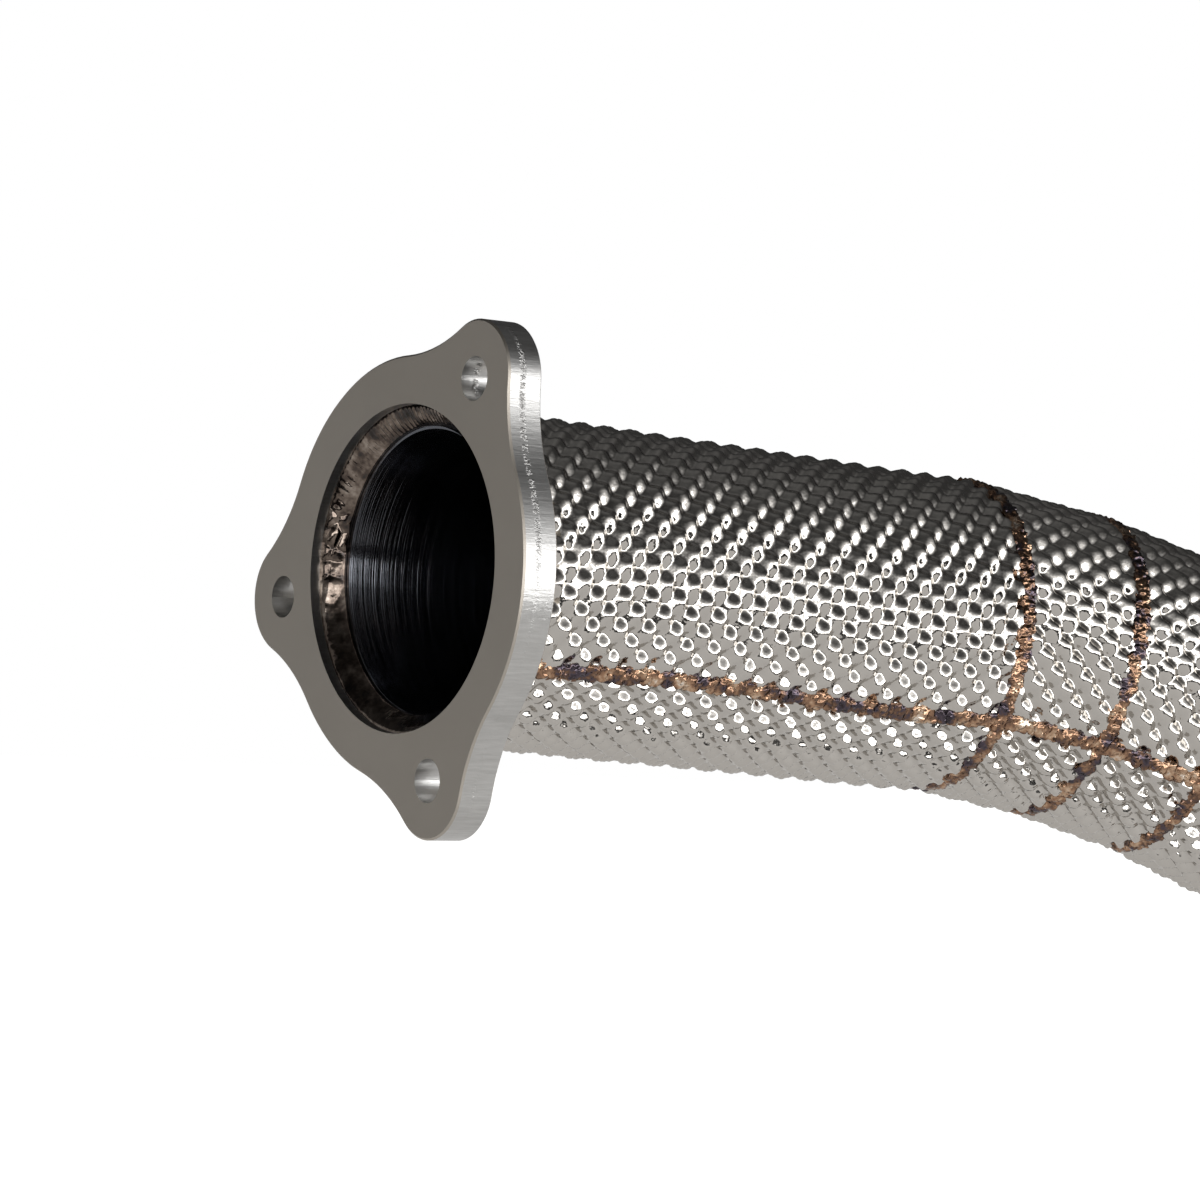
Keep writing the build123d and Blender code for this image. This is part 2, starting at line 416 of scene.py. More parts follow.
def seamTurn(section, along):  # wander of the lengthwise weld, in radians
    if section["name"] != "straight":
        return along * 0
    start = seamWander["start"] * np.cos(along / seamWander["startWave"])
    drift = start * np.exp(-along / seamWander["startFade"])
    drift = drift - seamWander["swing"] * np.sin(along / seamWander["swingWave"])
    return drift / foil["meanRadius"]


def sheetRadius(section, along):  # mean radius, tapering to the tube at the crimped end
    radius = np.full_like(along, foil["meanRadius"])
    if section["name"] == "inlet":
        start = pipe["inletLength"]
        land = pipe["tubeRadius"] + foil["thickness"]
        radius = radius + (land - radius) * ease(start, start + pipe["crimpLength"], along)
    return radius


def closeSheet(bm, section):  # turns the rims inwards and joins them by a wall under the sheet
    rims = [e for e in bm.edges if e.is_boundary]
    made = bmesh.ops.extrude_edge_only(bm, edges=rims)["geom"]
    start, axis = Vector(section["start"]) * mm, Vector(section["along"])
    for v in made:
        if isinstance(v, bmesh.types.BMVert):
            offset = v.co - start
            lengthwise = axis * offset.dot(axis)
            crimped = section["name"] == "inlet" and lengthwise.length > pipe["inletLength"] * mm
            wall = pipe["tubeRadius"] if crimped else foil["wallRadius"]
            v.co = start + lengthwise + (offset - lengthwise).normalized() * wall * mm
    bmesh.ops.bridge_loops(bm, edges=[g for g in made if isinstance(g, bmesh.types.BMEdge)])


def makeFoilFinish():
    f = Finish("embossedFoil", Metallic=1.0)
    heat = f.node("Attribute", {"attribute_name": "heat"}, output="Fac")
    smoke = f.grain(*foilLook["smoke"])
    stain = (heat * foilLook["stain"] + (smoke - 0.5) * foilLook["smokeShare"] * heat).clamped()
    tones = [foilLook[tone] for tone in ("bare", "straw", "bronze", "brown", "burnt")]
    f.feed("Base Color", f.ramp(stain, list(zip((0.0, 0.25, 0.5, 0.75, 1.0), tones))))
    smear = f.grain(*foilLook["smear"])
    roughness = foilLook["roughness"] + smear * foilLook["smearRoughness"]
    f.feed("Roughness", roughness + heat * foilLook["heatRoughness"])
    stamp = f.node("Attribute", {"attribute_name": "stamp"}, output="Vector")
    warp = (f.grain(*foilLook["warp"]) - 0.5) * foilLook["creaseWarp"]
    x = f.axis(stamp, "X") + warp
    y = f.axis(stamp, "Y") + warp
    sharpness = foilLook["creaseSharpness"]
    falling = ((x - y) * 0.5).math("SINE", None).math("ABSOLUTE", None) ** sharpness
    rising = ((x + y) * 0.5).math("SINE", None).math("ABSOLUTE", None) ** sharpness
    creases = f.bump(0 - falling - rising, foilLook["creaseStrength"], foilLook["creaseHeight"])
    dents = f.grain(*foilLook["dents"])
    f.feed("Normal", f.bump(dents, foilLook["dentStrength"], foilLook["dentHeight"], creases))
    return f.material


foilFinish = makeFoilFinish()


def makeShield(index):
    section = sections[index]
    name = section["name"]
    seam = math.radians(pipe["seamAngle"])
    span = section["last"][0] - section["first"][0]
    columns = int(np.linalg.norm(span) / foil["spacing"])
    rows = int(2 * math.pi * foil["meanRadius"] / foil["spacing"])
    bm, flat = grid(columns, rows)
    turn = flat[:, 1] * 2 * math.pi
    low = reach(section, section["first"], turn + seam, foil["meanRadius"])
    high = reach(section, section["last"], turn + seam, foil["meanRadius"])
    along = low + (high - low) * flat[:, 0]
    out = radial(section, seam + turn + seamTurn(section, along))
    base = section["start"] + along[:, None] * section["along"]
    spots = base + out * sheetRadius(section, along)[:, None]
    height, phases = stampSheet(index, spots, along, turn)
    # the pattern fades at the welds and at the crimp, and is crumpled behind the flange
    toSeam = foil["meanRadius"] * np.minimum(turn, 2 * math.pi - turn)
    toWeld = {"straight": high - along, "inlet": along - low}.get(name)
    if toWeld is None:
        toWeld = np.minimum(high - along, along - low)
    height = height * ease(foil["weldGap"], foil["weldGap"] + foil["weldFade"], toWeld)
    height = height * ease(foil["seamGap"], foil["seamGap"] + foil["seamFade"], toSeam)
    if name == "inlet":
        height = height * ease(0, foil["crimpFade"], high - pipe["crimpLand"] - along)
    if name == "straight":
        near = 1 - ease(foil["crumpleStart"], foil["crumpleReach"], along - low)
        patches = ease(0, 0.5, np.abs(wobble(spots, *sheetNoise["flattening"])))
        height = height * (1 - foil["flattening"] * near * patches)
        height = height + foil["crumple"] * near * wobble(spots, *sheetNoise["crumple"])
    scale, seed, octaves = sheetNoise["wave"]
    height = height + foil["wave"] * wobble(spots, scale, seed + index, octaves)
    place(bm, spots + out * height[:, None])
    heat = np.exp(-np.minimum(toWeld, toSeam) / foil["heatReach"] * foil["heatFall"])
    heatLayer = bm.verts.layers.float.new("heat")
    stampLayer = bm.verts.layers.float_vector.new("stamp")
    for v, value, phase in zip(bm.verts, heat, phases):
        v[heatLayer] = value
        v[stampLayer] = phase
    bmesh.ops.remove_doubles(bm, verts=bm.verts, dist=foil["merge"] * mm)
    closeSheet(bm, section)
    finished(bm, "foil_" + name, "shield_" + name, foilFinish, foil["creaseAngle"])


for k in range(len(sections)):
    makeShield(k)
print("embossed sheets done:", len(sections))


# weld beads, in millimetres
bead = {
    "halfWidth": 2.5,
    "baseRadius": 42.3,
    "crown": 1.05,
    "root": 0.9,
    "shoulder": 0.35,
    "swell": 0.22,
    "swellScale": 0.22,
    "lumpSize": 2.5,
    "lumpHeight": 1.3,
    "lumpMiddle": 0.45,
    "lumpOut": 0.8,
    "lumpAside": 0.6,
    "grit": 0.42,
    "gritScale": 0.6,
    "drift": 0.5,
    "driftScale": 0.05,
    "endGap": 0.2,
    "fewestSteps": 8,
    "spacing": 0.42,
    "around": 18,
    "merge": 0.01,
    "creaseAngle": 80,
    "seamSeed": 20,
    "driftSeed": 40,
    "jointSeed": 50,
    "ragged": 0.7,
}
weldTones = [  # from burnt patches to bare metal
    (0.04, 0.033, 0.036),
    (0.085, 0.07, 0.088),
    (0.14, 0.085, 0.06),
    (0.34, 0.2, 0.125),
    (0.54, 0.38, 0.26),
    (0.75, 0.66, 0.57),
]
weldStops = (0.0, 0.24, 0.4, 0.6, 0.8, 1.0)
weldLook = {
    "patches": (160.0, 3.0, 0.65),
    "patchContrast": 2.2,
    "fine": (900.0, 3.0, 0.6),
    "fineContrast": 0.5,
    "fineStrength": 0.1,
    "fineHeight": 0.0003,
    "roughness": 0.07,
    "fineRoughness": 0.1,
    "warp": (330.0, 2.0, 0.6),
    "drops": (520.0, 1.0, 0.4),
    "dropHeight": 0.0018,
}


def makeWeldFinish(name, tones, ragged):
    f = Finish(name, Metallic=1.0)
    patches = f.grain(*weldLook["patches"])
    fine = f.grain(*weldLook["fine"])
    tone = (patches - 0.5) * weldLook["patchContrast"] + 0.5 + (fine - 0.5) * weldLook["fineContrast"]
    f.feed("Base Color", f.ramp(tone.clamped(), list(zip(weldStops, tones))))
    f.feed("Roughness", weldLook["roughness"] + fine * weldLook["fineRoughness"])
    warp = f.grain(*weldLook["warp"])
    drops = f.grain(*weldLook["drops"])
    grain = f.bump(fine, weldLook["fineStrength"], weldLook["fineHeight"])
    f.feed("Normal", f.bump(warp * 0.5 + drops, ragged, weldLook["dropHeight"], grain))
    return f.material


weldFinish = makeWeldFinish("tintedWeld", weldTones, bead["ragged"])


def sweptBead(name, node, frames, closed, seed):
    # frames: arrays of centre points, outward directions and sideways directions along the bead
    centres, outs, sides = frames
    bm, flat = grid(len(centres) - 1, bead["around"])
    index = np.rint(flat[:, 0] * (len(centres) - 1)).astype(int)
    turn = flat[:, 1] * 2 * math.pi
    centre, out, side = centres[index], outs[index], sides[index]
    swell = 1 + bead["swell"] * wobble(centre, bead["swellScale"], seed)
    lateral = np.cos(turn) * bead["halfWidth"] * swell
    lift = np.sin(turn) * np.where(np.sin(turn) > 0, bead["crown"], bead["root"])
    spots = centre + side * lateral[:, None] + out * lift[:, None]
    crown = np.clip(np.sin(turn) + bead["shoulder"], 0, 1)
    bulge = (lumps(spots, bead["lumpSize"], seed) - bead["lumpMiddle"]) * bead["lumpHeight"]
    bulge = bulge + bead["grit"] * wobble(spots, bead["gritScale"], seed + 1)
    push = out * bead["lumpOut"] + side * (np.cos(turn) * bead["lumpAside"])[:, None]
    place(bm, spots + push * (bulge * crown)[:, None])
    bmesh.ops.remove_doubles(bm, verts=bm.verts, dist=bead["merge"] * mm)
    if not closed:
        bmesh.ops.holes_fill(bm, edges=[e for e in bm.edges if e.is_boundary], sides=0)
    finished(bm, name, node, weldFinish, bead["creaseAngle"])


def makeSeamWeld(index):
    section = sections[index]
    seam = math.radians(pipe["seamAngle"])
    low = reach(section, section["first"], seam, bead["baseRadius"]).item()
    high = reach(section, section["last"], seam, bead["baseRadius"]).item()
    steps = max(bead["fewestSteps"], int((high - low) / bead["spacing"]))
    along = np.linspace(low + bead["endGap"], high - bead["endGap"], steps)
    angle = seam + seamTurn(section, along)
    out = radial(section, angle)
    radius = sheetRadius(section, along) - foil["meanRadius"] + bead["baseRadius"]
    centres = section["start"] + along[:, None] * section["along"] + out * radius[:, None]
    sides = np.cross(section["along"], out)
    name = section["name"]
    sweptBead("seam_" + name, "seam_weld_" + name, (centres, out, sides), False, bead["seamSeed"] + index)


def makeJointWeld(index):
    before = sections[index]
    normal = before["last"][1]
    steps = int(2 * math.pi * bead["baseRadius"] / bead["spacing"])
    turn = np.linspace(0, 2 * math.pi, steps + 1)
    flatOut = radial(before, turn)
    tilt = (flatOut @ normal) / (before["along"] @ normal)
    out = flatOut - before["along"] * tilt[:, None]
    centres = before["last"][0] + out * bead["baseRadius"]
    out = out / np.linalg.norm(out, axis=1)[:, None]
    drift = bead["drift"] * wobble(centres, bead["driftScale"], bead["driftSeed"] + index, 1)
    drift[-1] = drift[0]
    sides = np.repeat(normal[None, :], len(turn), axis=0)
    centres = centres + sides * drift[:, None]
    name = "joint_%d" % (index + 1)
    node = "joint_weld_%d" % (index + 1)
    sweptBead(name, node, (centres, out, sides), True, bead["jointSeed"] + index)


for k in range(len(sections)):
    makeSeamWeld(k)
for k in range(len(sections) - 1):
    makeJointWeld(k)
print("weld beads done:", 2 * len(sections) - 1)


# weld inside the flange's bore: degrees run from the photograph's left over the top
fillet = {
    "boreRadius": 42.0,
    "rootRadius": 36.9,
    "toe": 2.8,
    "root": 7.4,
    "back": 7.9,
    "hollow": 1.15,
    "swell": 0.8,
    "faceShare": 0.8,  # share of the outline that is the visible face
    "backShare": 0.2,
    "rowsAcross": 26,
    "stepsRound": 620,
    "merge": 0.02,
    "creaseAngle": 80,
    "lumpyTurn": 8,
    "lumpyWidth": 15.0,
    "lumpSize": 5.6,
    "lumpHeight": 1.7,
    "lumpBase": 0.1,
    "lumpSeed": 7,
    "rippledTurn": 72,
    "rippledWidth": 44.0,
    "rippleHeight": 0.2,
    "rippleCount": 150,
    "rippleSway": 3,
    "swayCount": 7,
    "rippleSlant": 5,
    "wander": 0.3,
    "wanderScale": 0.16,
    "wanderSeed": 8,
    "push": 0.7,
    "ragged": 0.06,
}
boreWeldTones = [
    (0.03, 0.026, 0.024),
    (0.05, 0.043, 0.04),
    (0.08, 0.062, 0.052),
    (0.15, 0.12, 0.1),
    (0.24, 0.2, 0.17),
    (0.34, 0.3, 0.26),
]


def nearTurn(turn, middle, width, power):  # 1 at this many degrees, falling to 0 on both sides
    away = (np.degrees(turn) + 180 - middle) % 360 - 180
    return np.exp(-(away / width) ** power)


def filletSection(across):  # x and radius of the fillet's outline, from its toe round by the back
    toe, root, back = fillet["toe"], fillet["root"], fillet["back"]
    bore, rootRadius = fillet["boreRadius"], fillet["rootRadius"]
    span = np.clip(across / fillet["faceShare"], 0, 1)
    x = toe + (root - toe) * span ** fillet["hollow"]
    r = bore - (bore - rootRadius) * span ** fillet["swell"]
    behind = np.clip((across - fillet["faceShare"]) / fillet["backShare"], 0, 1)
    returning = (behind - 0.5) * 2
    x = np.where(behind > 0, root + (back - root) * np.minimum(behind * 2, 1), x)
    r = np.where(behind > 0.5, rootRadius + (bore - rootRadius) * returning, r)
    return np.where(behind > 0.5, back - (back - toe) * returning ** 3, x), r


def makeFlangeWeld():
    bm, flat = grid(fillet["stepsRound"], fillet["rowsAcross"])
    turn = flat[:, 0] * 2 * math.pi
    x, r = filletSection(flat[:, 1])
    ring = np.stack([x, r * np.cos(turn), r * np.sin(turn)], -1)
    # lumpy where the weld was started, rippled above that, smooth below
    span = np.clip(flat[:, 1] / fillet["faceShare"], 0, 1)
    lumpy = nearTurn(turn, fillet["lumpyTurn"], fillet["lumpyWidth"], 2)
    rippled = nearTurn(turn, fillet["rippledTurn"], fillet["rippledWidth"], 4)
    phase = turn * fillet["rippleCount"] + fillet["rippleSway"] * np.sin(turn * fillet["swayCount"])
    ripple = fillet["rippleHeight"] * np.sin(phase + fillet["rippleSlant"] * span) * rippled * (1 - lumpy)
    bulge = lumps(ring, fillet["lumpSize"], fillet["lumpSeed"]) - fillet["lumpBase"]
    bulge = bulge * fillet["lumpHeight"] * lumpy
    bulge = bulge + fillet["wander"] * wobble(ring, fillet["wanderScale"], fillet["wanderSeed"])
    push = np.sin(span * math.pi) * (ripple + bulge)
    share = fillet["push"]
    outwards = np.stack([-share * push, -np.cos(turn) * share * push, -np.sin(turn) * share * push], -1)
    place(bm, ring + outwards)
    bmesh.ops.remove_doubles(bm, verts=bm.verts, dist=fillet["merge"] * mm)
    finish = makeWeldFinish("boreWeldSteel", boreWeldTones, fillet["ragged"])
    finished(bm, "boreWeld", "flange_weld", finish, fillet["creaseAngle"])


makeFlangeWeld()
print("bore weld done")


# weld between the tube and the clamp ring, in millimetres
ringBead = {
    "bareTube": 24.0,  # tube past the last sheet
    "fromEnd": 7.3,
    "lift": 0.2,
    "rise": 0.25,
    "halfHeight": 0.95,
    "halfWidth": 1.3,
    "ripple": 0.07,
    "rippleCount": 90,
    "steps": 420,
    "around": 12,
}


def makeRingWeld():
    last = sections[-1]
    steps = ringBead["steps"]
    turn = np.linspace(0, 2 * math.pi, steps + 1)
    out = radial(last, turn)
    tubeEnd = last["last"][0] + last["along"] * ringBead["bareTube"]
    middle = tubeEnd - last["along"] * ringBead["fromEnd"]
    centres = middle + out * (pipe["tubeRadius"] + ringBead["lift"])
    ripple = 1 + ringBead["ripple"] * np.sin(turn * ringBead["rippleCount"])
    centres = centres + out * (ringBead["rise"] * ripple)[:, None]
    bm, flat = grid(steps, ringBead["around"])
    index = np.rint(flat[:, 0] * steps).astype(int)
    a = flat[:, 1] * 2 * math.pi
    spots = centres[index] + out[index] * (np.sin(a) * ringBead["halfHeight"] * ripple[index])[:, None]
    place(bm, spots + last["along"] * (np.cos(a) * ringBead["halfWidth"])[:, None])
    bmesh.ops.remove_doubles(bm, verts=bm.verts, dist=bead["merge"] * mm)
    finished(bm, "ringBead", "ring_weld", weldFinish, bead["creaseAngle"])


makeRingWeld()
print("ring weld done")


# finishes of the CAD nodes: each pair of tones runs from dark to pale
plate = {
    "faceTones": [(0.355, 0.324, 0.284), (0.43, 0.396, 0.35)],
    "edgeTones": [(0.42, 0.415, 0.405), (0.58, 0.575, 0.565)],
    "nickTone": (0.2, 0.19, 0.18),
    "cloud": (38.0, 4.0, 0.6),
    "fine": (1500.0, 2.0, 0.5),
    "smear": ((30.0, 30.0, 90.0), 3.0, 0.6),
    "lines": ((110.0, 1300.0, 1300.0), 3.0, 0.65),
    "wide": ((40.0, 160.0, 160.0), 2.0, 0.5),
    "nicks": ((500.0, 900.0, 900.0), 3.0, 0.7),
    "nickPlace": 0.42,  # centimetres behind the gasket face
    "nickNarrowness": 9,
    "nickThreshold": 0.48,
    "nickContrast": 9,
    "nickStrength": 0.5,
    "nickHeight": 0.0004,
    "roughness": 0.36,
    "cloudRoughness": 0.08,
    "edgePolish": 0.1,
    "cutStrength": 0.22,
    "cutHeight": 0.0005,
}
# the tube seen down the bore: its tones are painted dark, far darker than the bare tube past the sheet,
# for the shade deep in the bore
tubeLook = {
    "tones": [(0.16, 0.168, 0.19), (0.26, 0.27, 0.3)],
    "rings": ((3200.0, 8.0, 8.0), 3.0, 0.6),
    "bands": ((160.0, 6.0, 6.0), 2.0, 0.5),
    "shadeMottle": (30.0, 3.0, 0.6),
    "roughness": 0.08,
    "bandRoughness": 0.12,
    "ringStrength": 0.35,
    "ringHeight": 0.0004,
}
steels = {  # bare steel past the shield
    "drawnTube": {
        "cloud": (60.0, 4.0, 0.6),
        "fine": (1200.0, 2.0, 0.5),
        "tones": [(0.40, 0.385, 0.37), (0.52, 0.50, 0.48)],
        "roughness": 0.22,
        "cloudRoughness": 0.14,
        "bump": 0.1,
    },
    "turnedRing": {
        "cloud": (80.0, 3.0, 0.6),
        "fine": (1800.0, 2.0, 0.5),
        "tones": [(0.50, 0.49, 0.47), (0.60, 0.59, 0.57)],
        "roughness": 0.2,
        "cloudRoughness": 0.12,
        "bump": 0.12,
    },
}
fibreLook = {
    "tones": [(0.70, 0.67, 0.60), (0.86, 0.84, 0.78)],
    "hairs": (900.0, 5.0, 0.7),
    "tufts": (120.0, 4.0, 0.6),
    "hairHeight": 0.0006,
}


def makeFlangeFinish():
    f = Finish("satinPlate", Metallic=1.0)
    spot = f.place()
    flatFace = f.axis(f.node("NewGeometry", output="Normal"), "X").math("ABSOLUTE", None)
    edge = 1 - ((flatFace - 0.15) * 4.0).clamped()
    cloud = f.grain(*plate["cloud"])
    smear = f.streaks(*plate["smear"])
    fine = f.grain(*plate["fine"])
    lines = f.streaks(*plate["lines"])
    wide = f.streaks(*plate["wide"])
    # nicks along a line of the cut edge, more of them on its upper half
    offLine = f.axis(spot, "X") * 100 - plate["nickPlace"]
    nickBand = (1 - (offLine * plate["nickNarrowness"]).math("ABSOLUTE", None)).clamped()
    nicks = f.streaks(*plate["nicks"]) - plate["nickThreshold"]
    upper = ((f.axis(spot, "Z") + 0.005) * 60).clamped()
    nicks = (nicks * plate["nickContrast"]).clamped() * nickBand * (upper * 0.85 + 0.15) * edge
    faceTone = f.blend(cloud * 0.6 + smear * 0.4, *plate["faceTones"])
    edgeTone = f.blend((lines - 0.3) * 1.4 + (wide - 0.5) * 0.6, *plate["edgeTones"])
    edgeTone = f.blend(nicks * 0.5, edgeTone, plate["nickTone"])
    f.feed("Base Color", f.blend(edge, faceTone, edgeTone))
    f.feed("Roughness", plate["roughness"] + cloud * plate["cloudRoughness"] - edge * plate["edgePolish"])
    satin = f.bump(fine, 0.08, 0.0002)
    cut = f.bump((lines * 0.5 + wide * 0.5) * edge, plate["cutStrength"], plate["cutHeight"], satin)
    f.feed("Normal", f.bump(nicks, plate["nickStrength"], plate["nickHeight"], cut))
    return f.material


# painted shade: the tube's dark, mottled tones stand in for the shade deep in the bore
def makeTubeFinish():
    f = Finish("boreTubePaintedShade", Metallic=1.0)
    rings = f.streaks(*tubeLook["rings"])
    bands = f.streaks(*tubeLook["bands"])
    shadeMottle = f.grain(*tubeLook["shadeMottle"])
    f.feed("Base Color", f.blend(shadeMottle, *tubeLook["tones"]))
    f.feed("Roughness", tubeLook["roughness"] + bands * tubeLook["bandRoughness"])
    f.feed("Normal", f.bump(rings, tubeLook["ringStrength"], tubeLook["ringHeight"]))
    return f.material


def makeSteelFinish(name):
    look = steels[name]
    f = Finish(name, Metallic=1.0)
    cloud = f.grain(*look["cloud"])
    fine = f.grain(*look["fine"])
    f.feed("Base Color", f.blend(cloud, *look["tones"]))
    f.feed("Roughness", look["roughness"] + cloud * look["cloudRoughness"])
    f.feed("Normal", f.bump(fine, look["bump"], 0.0002))
    return f.material


def makeFibreFinish():
    f = Finish("needledFibre", Metallic=0.0, Roughness=0.95)
    hairs = f.grain(*fibreLook["hairs"])
    tufts = f.grain(*fibreLook["tufts"])
    f.feed("Base Color", f.blend(tufts, *fibreLook["tones"]))
    f.feed("Normal", f.bump(hairs, 0.5, fibreLook["hairHeight"]))
    return f.material


def dress(material, *nodeNames):
    for nodeName in nodeNames:
        mesh = nodes[nodeName].data
        mesh.materials.clear()
        mesh.materials.append(material)


dress(makeFlangeFinish(), "outlet_flange")
dress(makeTubeFinish(), "tube_straight", "tube_bend")
dress(makeSteelFinish("drawnTube"), "tube_inlet")
dress(makeSteelFinish("turnedRing"), "clamp_ring")
dress(makeFibreFinish(), "blanket_straight", "blanket_bend", "blanket_inlet")
print("finishes done")


# camera, as the photograph was taken
camera = {
    "place": (-484.39, -727.27, -30.81),
    "right": (0.7971, -0.6027, 0.0374),
    "down": (0.0469, 0.0, -0.9989),
    "forward": (0.6020, 0.7980, 0.0283),
    "lens": 103.04,
    "sensor": 36,
    "clip": (0.01, 50),
}
cameraData = bpy.data.cameras.new("camera")
cameraData.lens = camera["lens"]
cameraData.sensor_width = camera["sensor"]
cameraData.clip_start, cameraData.clip_end = camera["clip"]
cameraObject = bpy.data.objects.new("camera", cameraData)
right, down, forward = (Vector(camera[key]) for key in ("right", "down", "forward"))
turned = Matrix((right, -down, -forward)).transposed().to_4x4()
cameraObject.matrix_world = Matrix.Translation(Vector(camera["place"]) * mm) @ turned
bpy.context.scene.collection.objects.link(cameraObject)
bpy.context.scene.camera = cameraObject


# studio, in metres: a low band of soft light round the front, dark above and behind, pale floor
studio = {
    "centre": (0.13, -0.03, -0.02),
    "lightDistance": 1.7,
    "lightSize": (1.25, 0.54),
    "lightTurns": (-25, 20, 65, 110),
    "lightLift": 1.5,
    "lightPower": 6.8,
    "worldGlow": 0.45,
    "ceilingHeight": 0.95,
    "ceilingSize": 8,
    "ceilingTurn": 40,
    "ceilingGlow": 1.5,
    "spillStart": 0.5,
    "spillLength": 3.0,
    "spillCurve": 1.4,
    "overheadGlow": 0.11,
    "overheadReach": 0.8,
    "flagGlow": 0.04,
    "sideGlow": 0.36,
    "flagTurns": (150, 180, 210, 240, 270, 300),
    "firstSideTurn": 225,
    "flagDistance": 2.13,
    "flagWidth": 1.14,
    "flagFoot": -0.02,
    "floorHeight": -0.26,
    "floorRadius": 9.0,
    "floorTone": (0.8, 0.785, 0.765),
    "floorGlow": 0.8,
    # what reflections see of the floor: bright, with a painted shadow patch under the object and a painted
    # dark gap round it
    "floorShine": 1.2,
    "floorShade": 0.37,
    "floorShadowDeepening": 0.12,
    "shadePlace": (0.1, -0.6),
    "shadeSize": (2.0, 1.6),
    "shadeRim": (0.78, 0.34),
    "gapReach": (0.72, 1.62),
    "gapSharpness": 12,
    "gapTone": (0.02, 0.02, 0.02),
}
centre = Vector(studio["centre"])


def aroundCamera(turn, lift):  # direction from the object: turn 0 is over the camera, 90 to its right
    flat = -forward * math.cos(math.radians(turn)) + right * math.sin(math.radians(turn))
    flat.z = 0
    flat.normalize()
    return flat * math.cos(math.radians(lift)) + Vector((0, 0, math.sin(math.radians(lift))))


for turn in studio["lightTurns"]:
    lampData = bpy.data.lights.new("softbox", "AREA")
    lampData.shape = "RECTANGLE"
    lampData.size, lampData.size_y = studio["lightSize"]
    lampData.energy = studio["lightPower"]
    lamp = bpy.data.objects.new("softbox", lampData)
    direction = aroundCamera(turn, studio["lightLift"])
    lamp.location = centre + direction * studio["lightDistance"]
    lamp.rotation_mode = "QUATERNION"
    lamp.rotation_quaternion = direction.to_track_quat("Z", "Y")
    bpy.context.scene.collection.objects.link(lamp)


def makeCard(name, size, placement, finish):  # a flat card, moved from the origin by a matrix
    bm = bmesh.new()
    bmesh.ops.create_grid(bm, x_segments=1, y_segments=1, size=0.5)
    bmesh.ops.scale(bm, verts=bm.verts, vec=(size[0], size[1], 1))
    bmesh.ops.transform(bm, verts=bm.verts, matrix=placement)
    mesh = bpy.data.meshes.new(name)
    bm.to_mesh(mesh)
    bm.free()
    card = bpy.data.objects.new(name, mesh)
    bpy.context.scene.collection.objects.link(card)
    mesh.materials.append(finish.material)
    card.visible_camera = False
    card.visible_shadow = False
    card.visible_diffuse = False


def cardFinish(name, glow):
    f = Finish(name, Base_Color=(0.01, 0.01, 0.01, 1), Specular_IOR_Level=0, Emission_Strength=1)
    f.shader.inputs["Emission Color"].default_value = (glow, glow, glow, 1)
    return f


def aheadOf(f, turn):  # distance of a shaded point from the object towards this side
    direction = aroundCamera(turn, 0)
    spot = f.place()
    east = (f.axis(spot, "X") - centre.x) * direction.x
    return east + (f.axis(spot, "Y") - centre.y) * direction.y


def awayFrom(f):  # level distance of a shaded point from the object
    return (aheadOf(f, 0) * aheadOf(f, 0) + aheadOf(f, 90) * aheadOf(f, 90)) ** 0.5


def makeCeiling():  # dark over the object and brighter towards the camera's side
    f = cardFinish("ceilingSpill", 0)
    ahead = (aheadOf(f, studio["ceilingTurn"]) - studio["spillStart"]) / studio["spillLength"]
    spill = ahead.clamped() ** studio["spillCurve"] * studio["ceilingGlow"]
    overhead = (1 - awayFrom(f) / studio["overheadReach"]).clamped()
    f.feed("Emission Color", spill + (overhead * studio["overheadGlow"] + studio["flagGlow"]))
    size = (studio["ceilingSize"], studio["ceilingSize"])
    makeCard("ceilingFlag", size, Matrix.Translation((0, 0, studio["ceilingHeight"])), f)


def makeFlags():  # upright cards behind the object, dark, and at its left, grey
    darkCard = cardFinish("darkCard", studio["flagGlow"])
    sideCard = cardFinish("sideCard", studio["sideGlow"])
    for number, turn in enumerate(studio["flagTurns"]):
        behind = turn < studio["firstSideTurn"]
        foot = studio["flagFoot"] if behind else studio["floorHeight"]
        out = aroundCamera(turn, 0)
        upright = Matrix((Vector((0, 0, 1)).cross(out), Vector((0, 0, 1)), out)).transposed().to_4x4()
        middle = Vector((centre.x, centre.y, 0)) + out * studio["flagDistance"]
        middle.z = (foot + studio["ceilingHeight"]) / 2
        size = (studio["flagWidth"], studio["ceilingHeight"] - foot)
        placement = Matrix.Translation(middle) @ upright
        makeCard("backFlag_%d" % number, size, placement, darkCard if behind else sideCard)


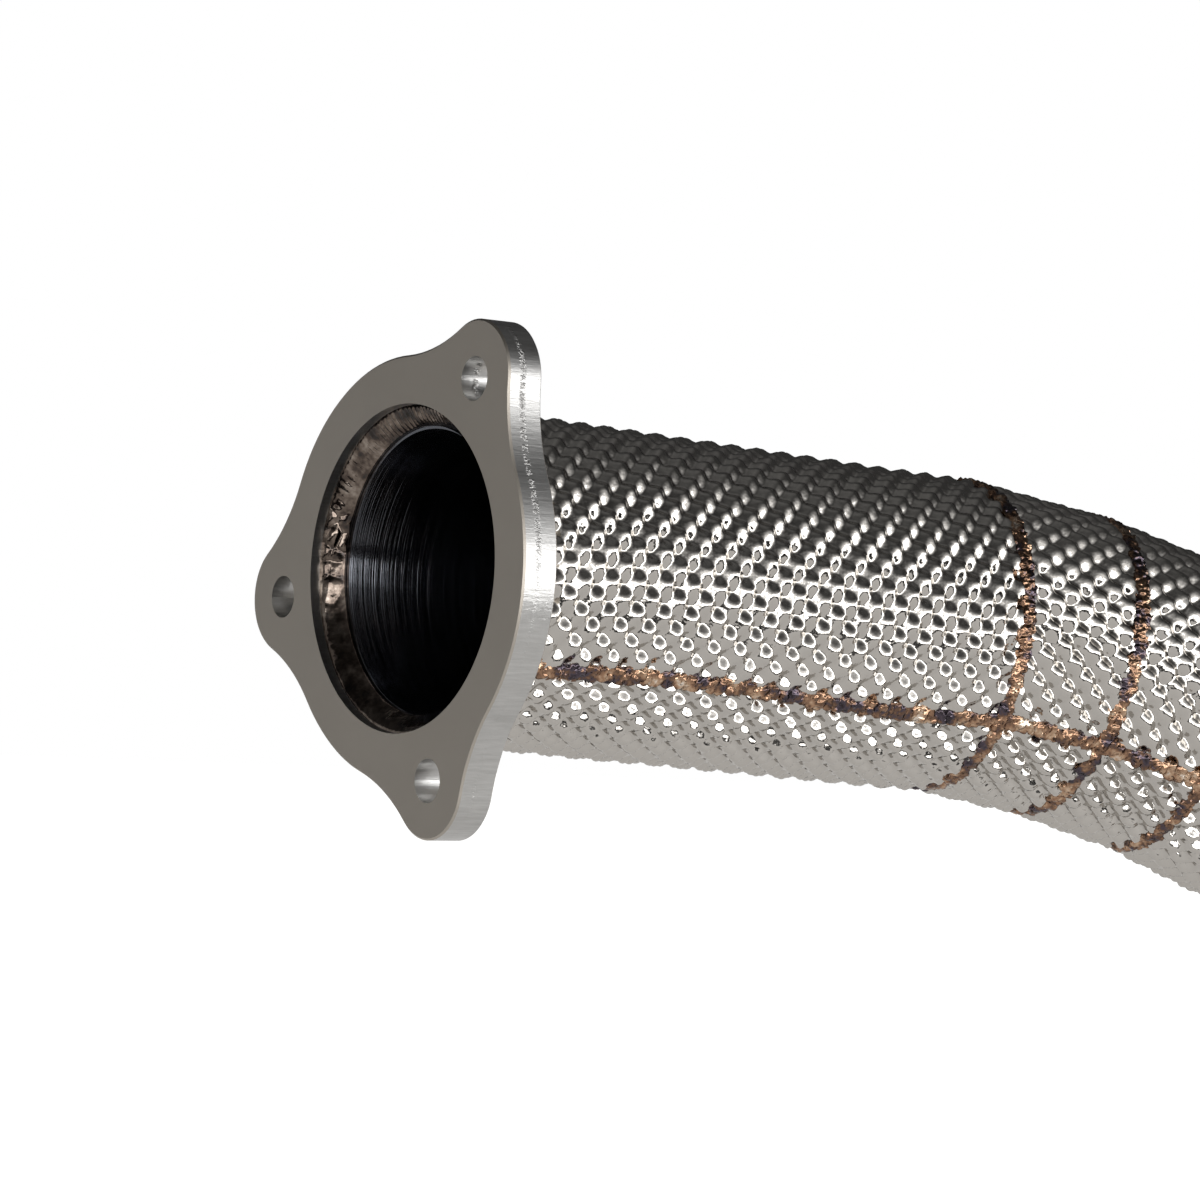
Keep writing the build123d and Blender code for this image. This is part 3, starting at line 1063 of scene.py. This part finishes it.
def makeFloor():
    bm = bmesh.new()
    bmesh.ops.create_circle(bm, cap_ends=True, radius=studio["floorRadius"], segments=96)
    bmesh.ops.translate(bm, verts=bm.verts, vec=(0, 0, studio["floorHeight"]))
    mesh = bpy.data.meshes.new("floor")
    bm.to_mesh(mesh)
    bm.free()
    floor = bpy.data.objects.new("floor", mesh)
    bpy.context.scene.collection.objects.link(floor)
    f = Finish("paleFloor", Specular_IOR_Level=0, Emission_Strength=1)
    # painted shadow: reflections see a patch of painted shadow under the object, darkest in its middle, a
    # dark gap painted round it, and the floor beyond glowing brighter
    deep = (aheadOf(f, 180) - studio["shadePlace"][1]) / studio["shadeSize"][0]
    wide = (aheadOf(f, 90) - studio["shadePlace"][0]) / studio["shadeSize"][1]
    out = (deep * deep + wide * wide) ** 0.5
    rim = ((out - studio["shadeRim"][0]) / studio["shadeRim"][1]).clamped()
    shineAndShadow = rim * (studio["floorShine"] - studio["floorShade"]) + studio["floorShade"]
    shineAndShadow = shineAndShadow - (1 - out).clamped() * studio["floorShadowDeepening"]
    away = awayFrom(f)
    past = ((away - studio["gapReach"][0]) * studio["gapSharpness"]).clamped()
    before = ((studio["gapReach"][1] - away) * studio["gapSharpness"]).clamped()
    gap = past * before
    cameraSees = f.node("LightPath", output="Is Camera Ray")
    mirrored = f.node("LightPath", output="Is Glossy Ray") * (1 - cameraSees)
    f.feed("Emission Color", cameraSees * studio["floorGlow"] + mirrored * (1 - gap) * shineAndShadow)
    f.feed("Base Color", f.blend(mirrored * gap, studio["floorTone"], studio["gapTone"]))
    mesh.materials.append(f.material)


def makeSky():  # white to the camera and in reflections, dimmer as a light
    world = bpy.data.worlds.new("studio")
    bpy.context.scene.world = world
    world.use_nodes = True
    tree = world.node_tree
    path = tree.nodes.new("ShaderNodeLightPath")
    seen = [Value(tree, path.outputs["Is %s Ray" % kind]) for kind in ("Camera", "Glossy", "Transmission")]
    white = (seen[0] + seen[1] + seen[2]).clamped()
    tone = white * (1 - studio["worldGlow"]) + studio["worldGlow"]
    tree.links.new(tone.socket, tree.nodes["Background"].inputs["Color"])


makeCeiling()
makeFlags()
makeFloor()
makeSky()
bpy.context.scene.view_settings.view_transform = "Standard"
print("studio done")
